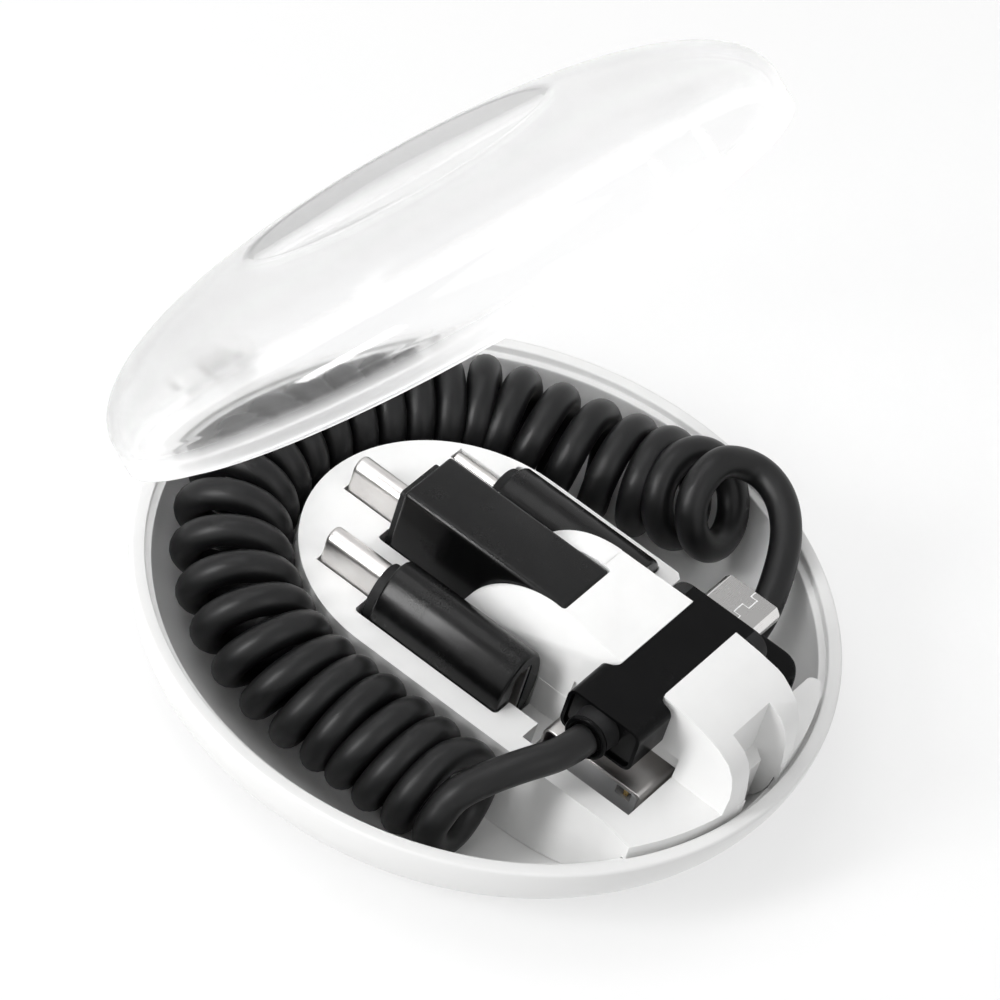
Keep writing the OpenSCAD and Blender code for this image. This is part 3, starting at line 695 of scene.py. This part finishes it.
# Strain relief: a turned sleeve with a rounded mouth, flaring into the plug head. Its profile is
# pairs of y and r, and a point is (x + r cos a, y, z + r sin a). Beyond matteFrom along y it is
# matte.
relief = dict(x=20.2, z=17.1, sides=48, matteFrom=-13.06,
              profile=[(-12.6, 1.7), (-13.1, 1.72), (-13.42, 1.8), (-13.5, 1.9), (-13.5, 2.25),
                       (-13.42, 2.36), (-13.25, 2.4), (-13.1, 2.38), (-13.02, 2.3), (-12.9, 2.28),
                       (-12.2, 2.26), (-11.7, 2.3), (-11.3, 2.37), (-11.1, 2.4), (-10.6, 2.3)])


def makeRelief(c):
    y, r = np.array(c["profile"]).T
    a = np.linspace(0, 2 * np.pi, c["sides"], endpoint=False)
    rings = np.stack([c["x"] + r[:, None] * np.cos(a), y[:, None] + 0 * a, c["z"] + r[:, None] * np.sin(a)],
                     axis=-1)
    return loft("smallRelief", rings, "gloss", "case", ("small_relief",), 50)


made["small_relief"] = makeRelief(relief)
twoTone(made["small_relief"], "rough", relief["matteFrom"])


# Corners of an upright outline, moved inwards so that each side shifts by the distance
def inset(corners, distance):
    p = np.asarray(corners, float)
    way = np.roll(p, -1, axis=0) - p
    way /= np.linalg.norm(way, axis=1)[:, None]
    normal = np.column_stack([-way[:, 1], way[:, 0]])
    normalBefore = np.roll(normal, 1, axis=0)
    both = normal + normalBefore
    return p + both * distance / (1 + (normal * normalBefore).sum(1))[:, None]


# The same outline with an arc of the radius, in so many steps, in place of each corner
def roundOff(corners, radius, steps=7):
    p = np.asarray(corners, float)
    ahead = np.roll(p, -1, axis=0) - p
    ahead /= np.linalg.norm(ahead, axis=1)[:, None]
    back = -np.roll(ahead, 1, axis=0)
    half = np.arccos(np.clip((ahead * back).sum(1), -1, 1)) / 2
    between = (ahead + back) / np.linalg.norm(ahead + back, axis=1)[:, None]
    middle = p + between * (radius / np.sin(half))[:, None]
    first = p + back * (radius / np.tan(half))[:, None] - middle
    turn = (np.pi - 2 * half)[:, None] * np.linspace(0, 1, steps)[None, :]
    c, n = np.cos(turn), np.sin(turn)
    rows = np.stack([first[:, :1] * c - first[:, 1:] * n, first[:, :1] * n + first[:, 1:] * c], axis=-1)
    return (middle[:, None, :] + rows).reshape(-1, 2)


# Outlines: each is a function of the distance inwards. Cornered moves the corners inwards and
# rounds them by what is left of the radius.
def cornered(corners, radius, least=0.04):
    return lambda inward: roundOff(inset(corners, inward), max(radius - inward, least))


# A box of the width and height about a centre, with rounded corners
def box(width, height, centre, radius):
    w, h = width / 2, height / 2
    return cornered(np.array([(-w, -h), (w, -h), (w, h), (-w, h)]) + centre, radius)


# An ellipse: centre + (width / 2 * cos a, height / 2 * sin a), in as many points as a box
def ellipse(width, height, centre, count=28):
    a = np.radians(np.linspace(180, 540, count, endpoint=False))
    return lambda inward: np.column_stack([centre[0] + (width / 2 - inward) * np.cos(a),
                                           centre[1] + (height / 2 - inward) * np.sin(a)])


# Rings of an outline at a list of (distance along, inset): the outline lies in x and z and runs
# along y, or lies in y and z and runs along x
def ringsAlong(outline, table, axis):
    rows = []
    for along, inward in table:
        flat = outline(inward)
        full = np.full(len(flat), float(along))
        columns = [flat[:, 0], full, flat[:, 1]] if axis == "y" else [full, flat[:, 0], flat[:, 1]]
        rows.append(np.column_stack(columns))
    return np.stack(rows)


# Sheet metal sleeve in rings of (along, inwards): outside from the root, an arc over the mouth,
# small steps over the edge into the bore, inside back to the root, and the first ring again.
# Soft is the share of the wall that the steps run along, and part the first step's share of it.
bore = dict(soft=0.35, part=0.3, steps=(0.02, 0.05, 0.06), foot=0.3)


def sleeve(name, outline, wall, root, mouth, axis, finish, node, rolled=0.1):
    out = math.copysign(1, mouth - root)
    soft = wall * bore["soft"]
    part = soft * bore["part"]
    first, second, third = (rolled + step for step in bore["steps"])
    over = [(rolled - x, rolled - z) for x, z in arc((0, 0), rolled, 90, 0, 6)]
    into = [(0, max(wall - soft, first)), (part, max(wall - part, second)), (soft, max(wall, third)),
            (soft + rolled, wall)]
    table = ([(root, 0)] + [(mouth - out * x, z) for x, z in over + into]
             + [(root + out * bore["foot"], wall), (root, wall), (root, 0)])
    return loft(name, ringsAlong(outline, table, axis), finish, "case", (node,), 40, caps=False)


# Sleeves of the plugs: the small one with its upper corners cut, the wide one, and the two ovals
# of the adapters
small = dict(x=20.4, base=16, high=17.8, shoulder=17.1, half=3.425, crown=2.9, root=8.71, mouth=14.7,
             wall=0.25, radius=0.45)
wide = dict(x=20.4, z=8.65, width=12, height=4.5, radius=0.75, root=5.1, mouth=-9.8, wall=0.3)
oval = dict(thick=2.4, tall=8.25, wall=0.3, z=11.8, radius=1.18, rolled=0.42,
            round=(-9.6, -6.82, -13.7), block=(0, -11.22, -17.8))


# Corners of the small sleeve: a box whose two upper corners are cut from shoulder to crown
def smallOutline(c):
    x, half, crown = c["x"], c["half"], c["crown"]
    return [(x - half, c["base"]), (x + half, c["base"]), (x + half, c["shoulder"]),
            (x + crown, c["high"]), (x - crown, c["high"]), (x - half, c["shoulder"])]


made["small_shell"] = sleeve("smallShell", cornered(smallOutline(small), small["radius"]), small["wall"],
                             small["root"], small["mouth"], "y", "shell", "small_shell")
markPaintedShadeFaces(made["small_shell"])
wideOutline = box(wide["width"], wide["height"], (wide["x"], wide["z"]), wide["radius"])
made["wide_shell"] = sleeve("wideShell", wideOutline, wide["wall"], wide["root"], wide["mouth"], "y", "steel",
                            "wide_shell")

for adapter in ("round", "block"):
    y, root, mouth = oval[adapter]
    outline = box(oval["thick"], oval["tall"], (y, oval["z"]), oval["radius"])
    node = adapter + "_plug_shell"
    made[node] = sleeve(adapter + "PlugShell", outline, oval["wall"], root, mouth, "x", "steel", node,
                        oval["rolled"])


# Bodies of the adapters: softened at both ends, with a pocket for the socket at the far one
bodies = dict(
    round=dict(x=(-5.6, 10.4), outline=ellipse(7.2, 11.2, (-9.6, 11.8)),
               socket=box(2.7, 7.6, (-9.6, 11.8), 0.5), deep=5.5),
    block=dict(x=(-10.3, 9.7), outline=box(7.65, 15.8, (0, 11.8), 0.6), socket=box(5.6, 13.2, (0, 11.8), 0.5),
               deep=10),
    slim=dict(x=(-6.7, 10), outline=box(7.2, 11.9, (11.5, 8.85), 3.58),
              socket=box(2.7, 7.6, (11.5, 8.85), 0.5), deep=5.5))


# Quarter circles soft * (1 - sin s, 1 - cos s) of (along, inwards) at both ends, then the pocket,
# which narrows a little towards its floor
def makeBody(adapter, c, soft=0.35, narrows=0.01):
    x0, x1 = c["x"]
    s = np.radians(np.linspace(0, 90, 5))
    turn = np.column_stack([soft * (1 - np.sin(s)), soft * (1 - np.cos(s))])
    table = np.vstack([turn[::-1] + (x0, 0), turn * (-1, 1) + (x1, 0)])
    outside = ringsAlong(c["outline"], table, "x")
    inside = ringsAlong(c["socket"], [(x1, 0), (x1 - c["deep"], narrows)], "x")
    rings = np.concatenate([outside, inside])
    return loft(adapter + "Body", rings, "plug", "case", (adapter + "_body",), 40)


for adapter, settings in bodies.items():
    made[adapter + "_body"] = makeBody(adapter, settings)


# Tongue of the wide plug: it fills the mouth but for a gap at the far side, and a small window
# in its face shows one contact
tongue = dict(face=-9.7, root=5, x=(15.6, 26.05), z=(6.8, 10.55), radius=0.8, soft=0.1,
              window=(23.5, 25.3, 9.2, 10.35), windowRadius=0.15, deep=1.1, narrows=0.01,
              contact=(24.25, 24.75, -9.35), contactRadius=0.1, contactGap=0.1, contactDeep=0.6)


# A rounded box between two pairs of places
def boxBetween(x0, x1, z0, z1, radius):
    return box(x1 - x0, z1 - z0, ((x0 + x1) / 2, (z0 + z1) / 2), radius)


# Rings of the body up to its face, then those of the window down to its floor
def makeTongue(c):
    body = boxBetween(*c["x"], *c["z"], c["radius"])
    hole = boxBetween(*c["window"], c["windowRadius"])
    face, soft = c["face"], c["soft"]
    outside = ringsAlong(body, [(c["root"], 0), (face + soft, 0), (face, soft)], "y")
    inside = ringsAlong(hole, [(face, 0), (face + c["deep"], c["narrows"])], "y")
    rings = np.concatenate([outside, inside])
    return loft("wideTongue", rings, "tongue", "case", ("wide_tongue",), 30)


made["wide_tongue"] = makeTongue(tongue)


# One bar that stands in the window, with a small gap above and below
def makeWindowContact(c):
    x0, x1, y = c["contact"]
    low, high = c["window"][2:]
    bar = box(x1 - x0, high - low - c["contactGap"], ((x0 + x1) / 2, (low + high) / 2), c["contactRadius"])
    rings = ringsAlong(bar, [(y, 0), (y + c["contactDeep"], 0)], "y")
    return loft("windowContact", rings, "contact", "case")


made["windowContact"] = makeWindowContact(tongue)


# Seam of the small shell: a thin white bar, a painted highlight for the glint along the seam, that steps like
# a dovetail across its top
seam = dict(z=17.8, width=0.14, high=0.02, sunk=0.05,
            points=[(20.62, 14.6), (20.6, 13.8), (21.38, 13.8), (21.38, 12.34), (20.6, 12.34), (20.6, 10.86),
                    (21.4, 10.86), (21.4, 10.3)])


# A flat bar along the points: half the width to both sides, square to the way, between two heights
def makeSeam(c):
    p = np.array(c["points"], float)
    way = np.gradient(p, axis=0)
    way /= np.linalg.norm(way, axis=1)[:, None]
    side = np.column_stack([-way[:, 1], way[:, 0]]) * c["width"] / 2
    low, high = c["z"] - c["sunk"], c["z"] + c["high"]
    rows = [np.column_stack([q, np.full(len(q), z)])
            for q, z in ((p - side, low), (p + side, low), (p + side, high), (p - side, high))]
    return loft("shellSeam", np.stack(rows, axis=1), "seamGlint", "case")


made["shellSeam"] = makeSeam(seam)
print("plugs and adapters", len(made))


# Studio: the camera, mirrors and clear plastic see a white world and the rest a dimmer one. The
# floor is grey with a glow for the camera, white for mirrors and plastic, and grey for the rest.
# A lamp has a place and a size in metres and a power in watts.
studio = dict(dim=0.52, white=1.0, plainFloor=0.8, seenFloor=0.46, glow=0.55, half=2, aim=(0, 0, 0.01),
              lamps=dict(overhead=((-0.3, -0.05, 0.74), (0.5, 0.5), 1.3),
                         strip=((-0.26, -0.55, 0.29), (0.13, 0.4), 2.8),
                         side=((0.52, -0.2, 0.4), (0.12, 0.4), 0.4)))


# 1 where the ray comes from the camera, a mirror or clear plastic, else 0
def seenWhite(f):
    camera, glossy, clear = (f.add("ShaderNodeLightPath", output=name)
                             for name in ("Is Camera Ray", "Is Glossy Ray", "Is Transmission Ray"))
    return camera.most(glossy).most(clear)


# A colour whose red, green and blue are the level
def grey(level):
    return level, level, level, 1


def makeStudio(c):
    world = bpy.data.worlds.new("studio")
    bpy.context.scene.world = world
    f = Finish("studio", world)
    dim = f.add("ShaderNodeBackground", {}, {"Color": grey(1), "Strength": c["dim"]})
    white = f.add("ShaderNodeBackground", {}, {"Color": grey(1), "Strength": c["white"]})
    f.done(f.add("ShaderNodeMixShader", {}, {0: seenWhite(f), 1: dim, 2: white}))
    f = Finish("paleFloor")
    plain = f.add("ShaderNodeBsdfDiffuse", {}, {"Color": grey(c["plainFloor"])})
    soft = f.add("ShaderNodeBsdfDiffuse", {}, {"Color": grey(c["seenFloor"])})
    glow = f.add("ShaderNodeEmission", {}, {"Color": grey(1), "Strength": c["glow"]})
    both = f.add("ShaderNodeAddShader", {}, {0: soft, 1: glow})
    white = f.add("ShaderNodeEmission", {}, {"Color": grey(1), "Strength": c["white"]})
    camera = f.add("ShaderNodeLightPath", output="Is Camera Ray")
    seen = f.add("ShaderNodeMixShader", {}, {0: camera, 1: white, 2: both})
    floorFinish = f.done(f.add("ShaderNodeMixShader", {}, {0: seenWhite(f), 1: plain, 2: seen}))
    mesh = bpy.data.meshes.new("floor")
    half = c["half"]
    corners = [(-half, -half, 0), (half, -half, 0), (half, half, 0), (-half, half, 0)]
    mesh.from_pydata(corners, [], [(0, 1, 2, 3)])
    floor = bpy.data.objects.new("floor", mesh)
    bpy.context.scene.collection.objects.link(floor)
    mesh.materials.append(floorFinish)
    for name, (place, size, power) in c["lamps"].items():
        data = bpy.data.lights.new(name, "AREA")
        data.shape = "RECTANGLE"
        data.size, data.size_y = size
        data.energy = power
        lamp = bpy.data.objects.new(name, data)
        lamp.location = place
        lamp.rotation_euler = (Vector(place) - Vector(c["aim"])).to_track_quat("Z", "Y").to_euler()
        bpy.context.scene.collection.objects.link(lamp)


makeStudio(studio)
print("studio")
bpy.context.scene.view_settings.view_transform = "Standard"
